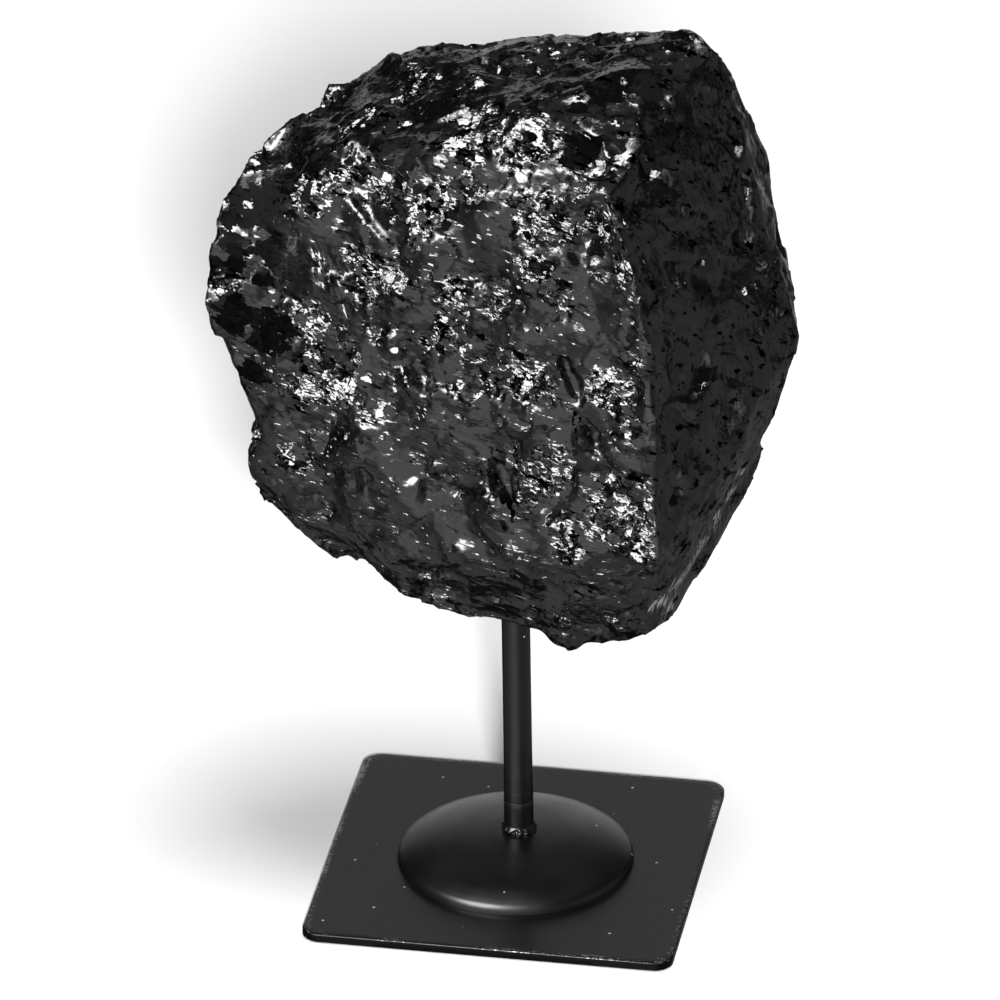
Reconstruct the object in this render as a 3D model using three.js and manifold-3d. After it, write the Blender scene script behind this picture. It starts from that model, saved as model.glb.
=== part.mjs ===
// Rough black tourmaline on a metal stand: a square sheet-steel foot with a pressed dome, a round post
// welded to the dome, and one broken lump of black tourmaline drilled from below and set on the post.
// Millimetres, +Z up, table top at z = 0.
import * as THREE from "three";
import { ConvexGeometry } from "three/addons/geometries/ConvexGeometry.js";
import { TessellateModifier } from "three/addons/modifiers/TessellateModifier.js";
import { MeshSurfaceSampler } from "three/addons/math/MeshSurfaceSampler.js";
import { mergeVertices } from "three/addons/utils/BufferGeometryUtils.js";
import Module from "manifold-3d";

const wasm = await Module();
wasm.setup();

// ---- Driving dimensions of the stand ----
const PLATE_SIDE = 100;
const SHEET = 2.5;
const PLATE_CORNER = 5;
const DOME_RISE = 9; // from the plate's top face to the flat crown
const CROWN_RADIUS = 6.5;
const DOME_FOOT_RADIUS = 36;
const POST_RADIUS = 4;
const POST_CHAMFER = 0.6;
const POST_FOOT_X = 0.9; // the post is welded a little off the plate's middle
const POST_LEAN = -0.0145; // and drifts this far along X for each unit of height
const BEAD_WIDTH = 0.85; // ring of weld metal round the post's foot
const BEAD_HEIGHT = 1.8;
const BEAD_BELLY = 0.5; // height at which the ring is widest
const BEAD_LIP = 0.15; // width of the ring's top, and how far its foot lies in from its belly
const BEAD_CLEARANCE = 0.05;
const ROUND_SEGMENTS = 36;

// ---- Driving dimensions of the lump ----
const SOCKET_DEPTH = 34; // how far the drilled socket runs up into the lump
const SOCKET_CLEARANCE = 0.3; // around and above the post
const SOCKET_SEGMENTS = 24;
const UNDERSIDE_Z = 80; // where the post enters the lump

// ---- Small helpers ----
function solidFrom(geometry) {
  const bare = geometry.index ? geometry.toNonIndexed() : geometry.clone();
  const points = new THREE.BufferGeometry().setAttribute("position", bare.getAttribute("position"));
  const merged = mergeVertices(points, 1e-4);
  return new wasm.Manifold(
    new wasm.Mesh({
      numProp: 3,
      vertProperties: new Float32Array(merged.attributes.position.array),
      triVerts: new Uint32Array(merged.index.array),
    }),
  );
}

function geometryFrom(solid) {
  const mesh = solid.getMesh();
  const geometry = new THREE.BufferGeometry();
  geometry.setAttribute("position", new THREE.BufferAttribute(new Float32Array(mesh.vertProperties), 3));
  geometry.setIndex(new THREE.BufferAttribute(new Uint32Array(mesh.triVerts), 1));
  geometry.computeVertexNormals();
  return geometry;
}

// A solid of revolution about Z from a closed [radius, height] outline that starts and ends on the axis.
function turned(outline, segments = ROUND_SEGMENTS) {
  const points = outline.map(([radius, height]) => new THREE.Vector2(radius, height));
  return new THREE.LatheGeometry(points, segments).rotateX(Math.PI / 2);
}

// A repeatable stream of random numbers from 0 to 1.
function randomStream(seed) {
  let state = seed;
  return () => {
    state = (state + 0x6d2b79f5) | 0;
    let t = Math.imul(state ^ (state >>> 15), 1 | state);
    t = (t + Math.imul(t ^ (t >>> 7), 61 | t)) ^ t;
    return ((t ^ (t >>> 14)) >>> 0) / 4294967296;
  };
}

function largestPiece(solid) {
  return solid.decompose().sort((a, b) => b.volume() - a.volume())[0];
}

// ---- The stand ----

const DOME_WALL = SHEET * 0.55; // how far the hollow's slope lies in from the outer face, level with it

// Top face of the pressed dome: [radius, height above the plate's top face].
const DOME_PROFILE = [
  [DOME_FOOT_RADIUS, 0],
  [33, 0.5],
  [31.2, 1.6],
  [29.4, 3.2],
  [26.5, 5],
  [22, 6.6],
  [15, 8.2],
  [CROWN_RADIUS, DOME_RISE],
];

function plateGeometry() {
  const half = PLATE_SIDE / 2;
  const outline = new THREE.Shape();
  outline.moveTo(-half + PLATE_CORNER, -half);
  outline.absarc(half - PLATE_CORNER, -half + PLATE_CORNER, PLATE_CORNER, -Math.PI / 2, 0);
  outline.absarc(half - PLATE_CORNER, half - PLATE_CORNER, PLATE_CORNER, 0, Math.PI / 2);
  outline.absarc(-half + PLATE_CORNER, half - PLATE_CORNER, PLATE_CORNER, Math.PI / 2, Math.PI);
  outline.absarc(-half + PLATE_CORNER, -half + PLATE_CORNER, PLATE_CORNER, Math.PI, Math.PI * 1.5);
  const sheet = new THREE.ExtrudeGeometry(outline, { depth: SHEET, bevelEnabled: false, curveSegments: 6 });
  const dome = DOME_PROFILE.map(([radius, height]) => [radius, SHEET + height]);
  const raised = turned([[0, SHEET / 2], [DOME_FOOT_RADIUS, SHEET / 2], ...dome, [0, SHEET + DOME_RISE]]);
  // The hollow below follows the dome one sheet lower, and runs out through the plate's underside.
  const inner = DOME_PROFILE.slice(1).map(([radius, height]) => [radius - DOME_WALL, height]);
  const hollow = turned([[0, -SHEET], [inner[0][0], -SHEET], ...inner, [0, DOME_RISE]]);
  return geometryFrom(solidFrom(sheet).add(solidFrom(raised)).subtract(solidFrom(hollow)));
}

const crownZ = SHEET + DOME_RISE;
const postTopZ = UNDERSIDE_Z + SOCKET_DEPTH - SOCKET_CLEARANCE;

// Moves something turned about Z onto the post's own line, which leans, and keeps its flat ends level.
function onPostLine(geometry) {
  const lean = new THREE.Matrix4().makeShear(0, 0, 0, 0, POST_LEAN, 0);
  return geometry.applyMatrix4(lean).translate(POST_FOOT_X - POST_LEAN * crownZ, 0, 0);
}

function postGeometry() {
  const bar = turned([
    [0, crownZ],
    [POST_RADIUS, crownZ],
    [POST_RADIUS, postTopZ - POST_CHAMFER],
    [POST_RADIUS - POST_CHAMFER, postTopZ],
    [0, postTopZ],
  ]);
  return onPostLine(bar);
}

// A small fillet of weld metal, hollow in section, round the post's foot.
function beadGeometry() {
  const inside = POST_RADIUS + BEAD_CLEARANCE;
  const ring = turned([
    [inside, crownZ],
    [inside + BEAD_WIDTH - BEAD_LIP, crownZ],
    [inside + BEAD_WIDTH, crownZ + BEAD_BELLY],
    [inside + BEAD_WIDTH * 0.5, crownZ + BEAD_HEIGHT * 0.6],
    [inside + BEAD_LIP, crownZ + BEAD_HEIGHT],
    [inside, crownZ + BEAD_HEIGHT],
    [inside, crownZ],
  ]);
  return onPostLine(ring);
}

// ---- The lump ----

// Corners of the lump before it is chipped, each [x, y, z].
const CORNERS = [
  // the sharp upright ridge between the broad face and the right-hand face
  [31, -42, 225], [39, -48, 204], [43, -50, 185], [45, -50, 124],
  // lower edge of the broad face
  [7, -48, 115], [-27, -38, 110],
  // left-hand end
  [-65, -20, 115], [-68, -24, 125], [-80, -26, 176], [-79.5, -24, 190], [-77, -16, 201], [-70, -8, 212.5],
  // shoulder between the broad face and the top
  [-61.5, 0, 219], [-28, -12, 229], [6, -30, 238],
  // top
  [-54, 12, 226], [-37, 18, 234], [-16, 22, 235],
  [15, 20, 241], [25, 17, 245], [44, 10, 250], [50, 2, 251],
  // right-hand end
  [56, 8, 237], [65, 10, 215], [72.5, 0, 190], [78, -16, 175],
  [65, -6, 128], [58, -3, 112], [51, -8, 100], [46, -28, 94.5],
  // lower rim
  [43, -38, 95], [29, -34, 87.5], [20, -34, 87],
  [-5, -30, 91], [-27, -26, 93], [-46, -20, 101], [-58, -20, 109],
  // back
  [-48, 40, 205], [0, 46, 216], [45, 40, 215], [64, 36, 165], [50, 34, 120],
  [-72, 22, 160], [-58, 26, 115], [-5, 40, 100], [0, 52, 160],
  // underside
  [0, 5, 79], [-30, 0, 88], [30, 0, 84],
].map(([x, y, z]) => new THREE.Vector3(x, y, z));

// The side that is shown faces this way. Against it the outline is kept whole, with only small breaks.
const SHOWN_SIDE = new THREE.Vector3(0.147, -0.87, 0.47);
const OUTLINE_NEAR = 0.3; // a face counts as outline when its cosine with the shown side is under this
const OUTLINE_BROKENNESS = 0.4; // against 1 elsewhere
const RIDGE = [new THREE.Line3(CORNERS[0], CORNERS[2]), new THREE.Line3(CORNERS[2], CORNERS[3])];
const RIDGE_SOFTENS = 12; // within this distance of the ridge the surface is less and less broken
const RIGHT_FACE_BROKENNESS = 0.5;
const GRAIN = new THREE.Vector3(0.35, -0.1, -0.93).normalize(); // the way the splinters run on the sides
const TOP_GRAIN = new THREE.Vector3(0.97, 0.1, 0.2).normalize(); // and on the top
const NET_STEP = 9.8; // longest side of a triangle on the broken surface
const NET_PASSES = 12; // enough rounds of halving to reach that step
const NET_SHIFT = 2; // how far a point of the net strays sideways
const FACET_COUNT = 230;
const FACET_LEAN = [0.05, 0.4]; // slope of a facet against the face it broke from
const FACET_DEPTH = [0.3, 3];
const FLAKE_COUNT = 36;
const FLAKE_LENGTH = [7.2, 16.8]; // half length of a flake
const FLAKE_SLENDERNESS = [0.35, 0.8]; // its width against its length
const FLAKE_LEAN = [0.1, 0.35];
const FLAKE_BITE = [1.8, 3]; // how far its middle lies below the blank

// Breaks that show in the lump's outline, and splits in its faces: a place, the way the break faces, its
// half length along the grain and half width, and how far below the place its floor lies.
const BREAKS = [
  { at: [-71, -20, 150], facing: [-0.89, -0.33, -0.33], size: [17, 17], depth: 1.4 }, // left waist
  { at: [67, 4, 199], facing: [0.97, 0.21, 0.09], size: [12.5, 12.5], depth: 0 }, // step high on the right
  { at: [67, -3, 144], facing: [0.94, -0.02, -0.34], size: [9, 10], depth: 0 }, // step low on the right
  { at: [36, -35, 91], facing: [0.08, -0.46, -0.88], size: [3, 8], depth: 0 }, // gap between the lower lobes
  { at: [24, -33, 232], facing: [0.1, -0.6, 0.79], size: [6.5, 4], depth: 4 }, // pit near the ridge's top
  { at: [43, -20, 237], facing: [0.35, -0.6, 0.72], size: [11, 9], depth: 4 }, // dark break beside it
  { at: [22, -47, 172], facing: [-0.1, -0.98, 0.1], size: [8, 2], depth: 4.2 }, // splits in the broad face
  { at: [28, -48, 155], facing: [-0.35, -0.92, 0.1], size: [6, 2], depth: 4 },
  { at: [4, -44, 136], facing: [-0.4, -0.9, -0.1], size: [9, 2.4], depth: 4.4 },
];

// Smooth shell-like hollows, each given in the same way, with the depth of its middle.
const HOLLOWS = [
  { at: [-61, -21, 185], facing: [-0.4, -0.88, 0.24], size: [24, 18], depth: 4.5 }, // large one at the left
  { at: [-30, 0, 231], facing: [-0.3, -0.3, 0.9], size: [9, 17], depth: 2.4 }, // wavy top
  { at: [4, -3, 240], facing: [-0.2, -0.3, 0.93], size: [10, 16], depth: 2.6 },
  { at: [34, -2, 247], facing: [0, -0.4, 0.92], size: [10, 12], depth: 2.2 },
  { at: [-12, -33, 216], facing: [-0.3, -0.85, 0.45], size: [12, 18], depth: 2.6 }, // under the shoulder
  { at: [-36, -34, 114], facing: [-0.44, -0.82, -0.37], size: [12, 16], depth: 2.2 }, // lower left
  { at: [8, -42, 101], facing: [0, -0.89, -0.45], size: [8, 18], depth: 3 }, // dark lower band
  { at: [58, -20, 178], facing: [0.9, -0.42, 0.1], size: [22, 14], depth: 2.4 }, // right-hand face
  { at: [-20, 44, 170], facing: [-0.2, 0.95, 0.1], size: [30, 22], depth: 5 }, // back
  { at: [38, 40, 140], facing: [0.45, 0.88, -0.1], size: [22, 18], depth: 4.5 },
  { at: [-62, 26, 190], facing: [-0.75, 0.6, 0.3], size: [22, 16], depth: 4 },
  { at: [20, 38, 218], facing: [0.1, 0.6, 0.8], size: [14, 22], depth: 4 },
  { at: [-30, 26, 100], facing: [-0.3, 0.5, -0.8], size: [18, 16], depth: 3.5 },
];

// Small knobs under the front edge.
const LOBES = [
  { at: [19, -30, 91], radius: 6.5 },
  { at: [30, -28, 94], radius: 7.5 },
];

for (const hollow of HOLLOWS) {
  hollow.place = new THREE.Vector3(...hollow.at);
  hollow.outward = new THREE.Vector3(...hollow.facing).normalize();
}

const random = randomStream(11);
const between = (low, high) => low + (high - low) * random();
const within = ([low, high]) => between(low, high);
const anyDirection = () => new THREE.Vector3(between(-1, 1), between(-1, 1), between(-1, 1)).normalize();
const grainOn = (normal) => (normal.z > 0.7 ? TOP_GRAIN : GRAIN);

// The directions along and across the grain on a surface that faces outward.
function grainAxes(outward, grain) {
  const across = new THREE.Vector3().crossVectors(outward, grain).normalize();
  return { across, along: new THREE.Vector3().crossVectors(across, outward) };
}

// How broken the surface is at a place: not at all along the ridge, less on the right-hand face and outline.
function brokenness(place, normal) {
  const nearest = new THREE.Vector3();
  const clearance = Math.min(
    ...RIDGE.map((line) => line.closestPointToPoint(place, true, nearest).distanceTo(place)),
  );
  const face = normal.x > 0.75 ? RIGHT_FACE_BROKENNESS : 1;
  const inner = THREE.MathUtils.smoothstep(Math.abs(normal.dot(SHOWN_SIDE)), 0, OUTLINE_NEAR);
  const outline = THREE.MathUtils.lerp(OUTLINE_BROKENNESS, 1, inner);
  return face * outline * THREE.MathUtils.smoothstep(clearance, 1, RIDGE_SOFTENS);
}

// How far the smooth hollows lie below the blank at a place, and how much they smooth it, from 0 to 1.
function hollowAt(place) {
  let depth = 0;
  let smooth = 0;
  for (const hollow of HOLLOWS) {
    const { across, along } = grainAxes(hollow.outward, GRAIN);
    const offset = place.clone().sub(hollow.place);
    const reach = Math.hypot(offset.dot(along) / hollow.size[0], offset.dot(across) / hollow.size[1]);
    if (reach > 1 || Math.abs(offset.dot(hollow.outward)) > hollow.size[0]) continue;
    depth += hollow.depth * (1 - reach * reach);
    smooth = Math.max(smooth, 1 - reach ** 4);
  }
  return { depth, smooth };
}

// Flat facets scattered over the blank. Each leans its own way and lies a little below the blank's face.
function scatteredFacets(sampler) {
  return Array.from({ length: FACET_COUNT }, () => {
    const centre = new THREE.Vector3();
    const normal = new THREE.Vector3();
    sampler.sample(centre, normal);
    return {
      centre,
      grain: grainOn(normal),
      lean: anyDirection().multiplyScalar(within(FACET_LEAN)),
      depth: within(FACET_DEPTH),
    };
  });
}

// Distance from a place to a facet's middle, counted short along the grain, so that facets come out long.
function facetDistance(place, facet) {
  const offset = place.clone().sub(facet.centre);
  return offset.addScaledVector(facet.grain, -0.5 * offset.dot(facet.grain)).length();
}

// The blank's faces drawn as a net of triangles, each point moved in to the facet or hollow it lies on.
function brokenBlank(blank, facets) {
  const net = new TessellateModifier(NET_STEP, NET_PASSES).modify(blank);
  const bare = new THREE.BufferGeometry().setAttribute("position", net.attributes.position);
  const merged = mergeVertices(bare, 1e-3);
  merged.computeVertexNormals();
  const points = merged.attributes.position;
  const place = new THREE.Vector3();
  const normal = new THREE.Vector3();
  for (let i = 0; i < points.count; i++) {
    place.fromBufferAttribute(points, i);
    normal.fromBufferAttribute(merged.attributes.normal, i);
    const distances = facets.map((facet) => facetDistance(place, facet));
    const facet = facets[distances.indexOf(Math.min(...distances))];
    const slope = facet.lean.dot(place.clone().sub(facet.centre));
    const hollow = hollowAt(place);
    const strength = brokenness(place, normal) * (1 - 0.7 * hollow.smooth);
    const depth = hollow.depth + strength * Math.max(0, facet.depth + slope);
    const shift = anyDirection().projectOnPlane(normal).multiplyScalar(strength * between(0, NET_SHIFT));
    place.addScaledVector(normal, -depth).add(shift);
    points.setXYZ(i, place.x, place.y, place.z);
  }
  return solidFrom(merged);
}

// A flat-bottomed cutter with steep sides and an uneven outline, which splits off one flake.
function flakeCutter(place, outward, grain, length, width) {
  const corners = 5 + Math.floor(random() * 3);
  const height = (length + width) / 2;
  const points = [];
  for (let i = 0; i < corners; i++) {
    const angle = ((i + between(-0.3, 0.3)) / corners) * Math.PI * 2;
    const x = Math.cos(angle) * length * between(0.85, 1.15);
    const y = Math.sin(angle) * width * between(0.85, 1.15);
    points.push(new THREE.Vector3(x, y, 0), new THREE.Vector3(x * 1.4, y * 1.4, height));
  }
  const { across, along } = grainAxes(outward, grain);
  const pose = new THREE.Matrix4().makeBasis(along, across, outward).setPosition(place);
  return solidFrom(new ConvexGeometry(points).applyMatrix4(pose));
}

// The breaks listed above.
function placedBreaks() {
  return BREAKS.map(({ at, facing, size, depth }) => {
    const outward = new THREE.Vector3(...facing).normalize();
    const floor = new THREE.Vector3(...at).addScaledVector(outward, -depth);
    return flakeCutter(floor, outward, GRAIN, size[0], size[1]);
  });
}

// Flakes scattered over the lump. Each leans a little, so that it leaves a ledge on one side.
function scatteredFlakes(sampler) {
  const cutters = [];
  const place = new THREE.Vector3();
  const normal = new THREE.Vector3();
  while (cutters.length < FLAKE_COUNT) {
    sampler.sample(place, normal);
    const length = within(FLAKE_LENGTH);
    const width = length * within(FLAKE_SLENDERNESS);
    const spared = brokenness(place, normal) < random() || hollowAt(place).smooth > 0.5;
    if (spared || Math.abs(normal.dot(SHOWN_SIDE)) < OUTLINE_NEAR) continue;
    const lean = anyDirection();
    const outward = normal.clone().addScaledVector(lean, within(FLAKE_LEAN)).normalize();
    const grain = grainOn(normal).clone().addScaledVector(lean, between(0, 0.7));
    place.addScaledVector(normal, -within(FLAKE_BITE));
    cutters.push(flakeCutter(place, outward, grain, length, width));
  }
  return cutters;
}

function lumpGeometry() {
  const blank = new ConvexGeometry(CORNERS);
  const sampler = new MeshSurfaceSampler(new THREE.Mesh(blank)).setRandomGenerator(random).build();
  const body = brokenBlank(blank, scatteredFacets(sampler));
  const lobes = LOBES.map(({ at, radius }) => new THREE.IcosahedronGeometry(radius, 1).translate(...at));
  const cutters = wasm.Manifold.union([...placedBreaks(), ...scatteredFlakes(sampler)]);
  const socketRadius = POST_RADIUS + SOCKET_CLEARANCE;
  const socketTop = UNDERSIDE_Z + SOCKET_DEPTH;
  const socketOutline = [[0, 0], [socketRadius, 0], [socketRadius, socketTop], [0, socketTop]];
  const socket = onPostLine(turned(socketOutline, SOCKET_SEGMENTS));
  const rough = wasm.Manifold.union([body, ...lobes.map(solidFrom)]).subtract(cutters);
  return geometryFrom(largestPiece(rough.subtract(solidFrom(socket))));
}

// ---- Assembly ----
const blackPaint = new THREE.MeshStandardMaterial({ color: 0x161616, roughness: 0.42, metalness: 0 });
const weldPaint = new THREE.MeshStandardMaterial({ color: 0x121212, roughness: 0.3, metalness: 0 });
const tourmaline = new THREE.MeshStandardMaterial({ color: 0x0b0b0c, roughness: 0.18, metalness: 0 });

function piece(name, geometry, material) {
  const mesh = new THREE.Mesh(geometry, material);
  mesh.name = name;
  return mesh;
}

const specimen = new THREE.Group();
specimen.add(
  piece("base_plate", plateGeometry(), blackPaint),
  piece("post", postGeometry(), blackPaint),
  piece("weld_bead", beadGeometry(), weldPaint),
  piece("tourmaline", lumpGeometry(), tourmaline),
);

export default specimen;
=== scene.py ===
import math

import bmesh
import bpy
import numpy as np
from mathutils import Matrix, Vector, kdtree, noise


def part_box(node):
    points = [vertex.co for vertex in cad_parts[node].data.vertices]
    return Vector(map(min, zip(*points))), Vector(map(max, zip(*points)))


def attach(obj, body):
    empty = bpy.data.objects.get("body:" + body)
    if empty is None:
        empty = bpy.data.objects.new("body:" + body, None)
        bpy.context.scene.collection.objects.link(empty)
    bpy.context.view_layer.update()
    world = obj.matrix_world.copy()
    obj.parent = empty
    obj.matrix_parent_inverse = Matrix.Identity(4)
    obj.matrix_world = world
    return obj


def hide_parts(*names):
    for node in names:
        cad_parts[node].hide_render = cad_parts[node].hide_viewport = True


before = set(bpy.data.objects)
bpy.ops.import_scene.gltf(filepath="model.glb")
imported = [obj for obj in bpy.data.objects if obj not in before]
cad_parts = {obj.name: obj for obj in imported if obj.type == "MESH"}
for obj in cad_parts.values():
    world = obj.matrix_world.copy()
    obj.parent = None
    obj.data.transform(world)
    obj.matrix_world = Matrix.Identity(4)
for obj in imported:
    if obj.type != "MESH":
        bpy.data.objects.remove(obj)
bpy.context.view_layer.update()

MM = 0.001

# ---- Camera ----
CAMERA_PLACE = (0.43034, -2.55789, 1.49413)
CAMERA_TARGET = (-0.0043, 0.0, 0.111)
CAMERA_LENS = 399.4
CAMERA_SENSOR = 36
CAMERA_REACH = 200

# ---- Meshes ----
MERGE = 0.002 * MM  # points nearer than this become one
PAINTED_CREASE = math.radians(32)
STONE_CREASE = math.radians(42)

# ---- Stand ----
PLATE_HALF = 50 * MM
PLATE_CORNER = 5 * MM
CORNER_SHARE = 0.16  # share of each quarter turn whose points go into the corner
SHEET = 2.5 * MM
FOOT_STEPS = 256
POST_STEPS = 96
SQUARE_FROM = 37 * MM  # rings wider than this turn gradually from round to square
CROWN_Z = 11.5 * MM
POST_FOOT_X = 0.9 * MM
POST_LEAN = -0.0145

# ---- Lump ----
VOXEL = 1.0 * MM
SOFTENINGS = 2
SIDE_GRAIN = Vector((0.9, -0.05, -0.42)).normalized()
TOP_GRAIN = Vector((0.97, 0.1, 0.2)).normalized()
FACING_KEY = (-0.11, -0.79, 0.60)  # flats turned this way mirror the key light
FACING_DARK = (0.50, -0.65, 0.58)  # flats turned this way mirror the dark of the room
FACING_CEILING = (0.14, -0.50, 0.85)  # flats turned this way mirror its dim ceiling
# Broken facets by size: spacing, depth, lean, stretch along the grain, flatness, neighbours tried.
COARSE_FACETS = (7.0 * MM, 0.5 * MM, 0.06, 1.6, 0.7, 10)
MIDDLE_FACETS = (3.2 * MM, 0.32 * MM, 0.11, 2.2, 0.5, 10)
FINE_FACETS = (1.9 * MM, 0.1 * MM, 0.09, 1.8, 0.3, 8)
ROUGH_PATCHES = 11 * MM  # size of the patches that are rougher or calmer than the rest
GROOVE_DEPTH = 0.45 * MM
GROOVE_HALF_WIDTH = 0.7 * MM
CRACK_REACH = 2 * MM
SOCKET_EDGE = 5.5 * MM
SOCKET_FADE = 2.5 * MM
SOCKET_TOP = 120 * MM
BOX_GAP = 0.02 * MM
RIDGE_SNAP = 0.62 * MM
RIDGE_CRISP = 0.3 * MM
RIDGE_KEEP = 1.6 * MM  # nothing is softened nearer to the ridge than this
RIDGE_FADE = 3 * MM


# ---- Helpers ----
def mesh_piece(name, mesh):
    piece = bpy.data.objects.new(name, mesh)
    bpy.context.scene.collection.objects.link(piece)
    return piece


def finish_bmesh(name, bm):
    bmesh.ops.remove_doubles(bm, verts=bm.verts, dist=MERGE)
    bmesh.ops.recalc_face_normals(bm, faces=bm.faces)
    for face in bm.faces:
        face.smooth = True
    mesh = bpy.data.meshes.new(name)
    bm.to_mesh(mesh)
    bm.free()
    mesh.set_sharp_from_angle(angle=PAINTED_CREASE)
    return mesh_piece(name, mesh)


def turned(outline, steps, ring=False):
    """A solid of revolution about Z from [radius, height] points in mm. A ring's outline closes on itself."""
    bm = bmesh.new()
    verts = [bm.verts.new((radius * MM, 0, height * MM)) for radius, height in outline]
    following = verts[1:] + verts[:1] if ring else verts[1:]
    edges = [bm.edges.new(pair) for pair in zip(verts, following)]
    bmesh.ops.spin(
        bm,
        geom=verts + edges,
        cent=(0, 0, 0),
        axis=(0, 0, 1),
        angle=math.tau,
        steps=steps,
        use_merge=True,
    )
    return bm


def smooth_curve(points, pieces):
    """Points on a soft curve through the given [radius, height] points."""
    made = []
    padded = [points[0], *points, points[-1]]
    for a, b, c, d in zip(padded, padded[1:], padded[2:], padded[3:]):
        for i in range(pieces):
            t = i / pieces
            made.append(
                [
                    0.5 * (2 * b[k] + (c[k] - a[k]) * t + (2 * a[k] - 5 * b[k] + 4 * c[k] - d[k]) * t * t
                           + (3 * b[k] - a[k] - 3 * c[k] + d[k]) * t ** 3)
                    for k in (0, 1)
                ]
            )
    made.append(list(points[-1]))
    return made


# ---- The foot ----
DOME_PROFILE = [
    [6.5, 11.5],
    [15, 10.7],
    [22, 9.15],
    [26.3, 7.65],
    [29, 6.3],
    [30.4, 5.4],
    [31.1, 4.8],
    [31.55, 4.1],
    [31.8, 3.4],
    [31.95, 2.75],
    [32.2, 2.5],
    [35.5, 2.5],
]
DOME_PIECES = 5
HOLLOW_IN = 1.375  # the hollow's wall stands this far inside the dome's, in mm
HOLLOW_RADIUS = 33.2
EDGE_ROUND = 0.45


def square_place(angle):
    """A point on the foot's rounded square outline, with more points in its corners."""
    quarter = math.tau / 4
    turn = math.floor((angle % math.tau) / quarter)
    local = (angle % math.tau) / quarter - turn - 0.5
    inner = PLATE_HALF - PLATE_CORNER
    if abs(local) <= CORNER_SHARE / 2:
        bend = math.pi / 4 + local / CORNER_SHARE * math.pi / 2
        x = inner + PLATE_CORNER * math.cos(bend)
        y = inner + PLATE_CORNER * math.sin(bend)
    else:
        along = (0.5 - abs(local)) / (0.5 - CORNER_SHARE / 2) * inner
        x, y = (PLATE_HALF, along) if local < 0 else (along, PLATE_HALF)
    base = turn * quarter
    return Vector(
        (x * math.cos(base) - y * math.sin(base), x * math.sin(base) + y * math.cos(base), 0)
    )


def make_foot():
    dome = [[r, max(z, SHEET / MM)] for r, z in smooth_curve(DOME_PROFILE, DOME_PIECES)]
    rim = [
        [50 - EDGE_ROUND, 2.5],
        [50 - EDGE_ROUND * 0.62, 2.5 - EDGE_ROUND * 0.08],
        [50 - EDGE_ROUND * 0.29, 2.5 - EDGE_ROUND * 0.29],
        [50 - EDGE_ROUND * 0.08, 2.5 - EDGE_ROUND * 0.62],
        [50, 2.5 - EDGE_ROUND],
        [50, 0.3],
        [49.9, 0.1],
        [49.7, 0],
    ]
    outer = [[0, 11.5], [3, 11.5], *dome, [37, 2.5], [40, 2.5], [43, 2.5], [46, 2.5], [48.5, 2.5], *rim]
    hollow = [[r - HOLLOW_IN, z - 2.5] for r, z in dome if r < HOLLOW_RADIUS][::-1]
    under = [[46, 0], [40, 0], [36, 0], *hollow, [0, 9]]
    bm = turned(outer + under, FOOT_STEPS)
    rim_layer = bm.verts.layers.float.new("rim")
    side_layer = bm.verts.layers.float.new("side")
    for vert in bm.verts:
        radius = math.hypot(vert.co.x, vert.co.y)
        share = (radius - SQUARE_FROM) / (PLATE_HALF - SQUARE_FROM)
        if share > 0:
            angle = math.atan2(vert.co.y, vert.co.x)
            start = Vector((math.cos(angle), math.sin(angle), 0)) * SQUARE_FROM
            moved = start.lerp(square_place(angle), share)
            vert.co.x, vert.co.y = moved.x, moved.y
            vert[rim_layer] = 1.0 if radius > 49.5 * MM and vert.co.z > 2.3 * MM else 0.0
            # The side field marks the plate's outer side, which the paint turns black: painted shade.
            vert[side_layer] = 1.0 if radius > 49.9 * MM else 0.0
    return finish_bmesh("painted_foot", bm)


# ---- The post and its weld ----
RINGS_FROM = 21.6  # the fine machined rings above the collar, in mm
RINGS_TO = 34
RING_PITCH = 0.6
RING_CUT = 0.07
FAINT_CUT = 0.01
RING_TAPER = 0.009


def make_post():
    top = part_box("post")[1].z / MM
    outline = [[0, 11.5], [4.0, 11.5], [4.0, 19.2], [3.99, 20.5], [3.84, 20.9], [3.99, 21.3]]
    height = RINGS_FROM
    while height < RINGS_TO:
        skin = 3.97 - (height - RINGS_FROM) * RING_TAPER
        ringed = 23.5 < height < 28 or 30 < height < 33.5
        outline.append([skin - (RING_CUT if ringed else FAINT_CUT), height])
        outline.append([skin, height + RING_PITCH / 2])
        height += RING_PITCH
    outline += [[3.84, 40], [3.83, 60], [3.83, 80], [3.83, top - 0.6], [3.3, top], [0, top]]
    bm = turned(outline, POST_STEPS)
    lean_over(bm)
    return finish_bmesh("painted_post", bm)


def lean_over(bm):
    """Shifts a piece turned about Z onto the post's own line, which leans a little."""
    for vert in bm.verts:
        vert.co.x += POST_FOOT_X + POST_LEAN * (vert.co.z - CROWN_Z)


WELD_PROFILE = [[4.02, 11.5], [4.8, 11.5], [4.98, 11.8], [4.9, 12.3], [4.5, 12.9], [4.15, 13.4], [4.02, 13.5]]
WELD_PIECES = 6
WELD_SKIN = 4.05 * MM
WELD_LUMPS = 1.5 * MM
WELD_GRAINS = 0.7 * MM


def make_weld_ring():
    bm = turned(smooth_curve(WELD_PROFILE, WELD_PIECES), POST_STEPS, ring=True)
    for vert in bm.verts:
        around = Vector((vert.co.x, vert.co.y, 0)).normalized()
        lump = noise.noise(vert.co / WELD_LUMPS) + 0.5 * noise.noise(vert.co / WELD_GRAINS)
        out = max(0.0, math.hypot(vert.co.x, vert.co.y) - WELD_SKIN)
        vert.co -= around * out * min(0.9, 0.35 + 0.9 * lump if lump > -0.3 else 0.0)
    lean_over(bm)
    return finish_bmesh("painted_weld", bm)


# ---- The lump ----
random_draws = np.random.default_rng(20)


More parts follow.
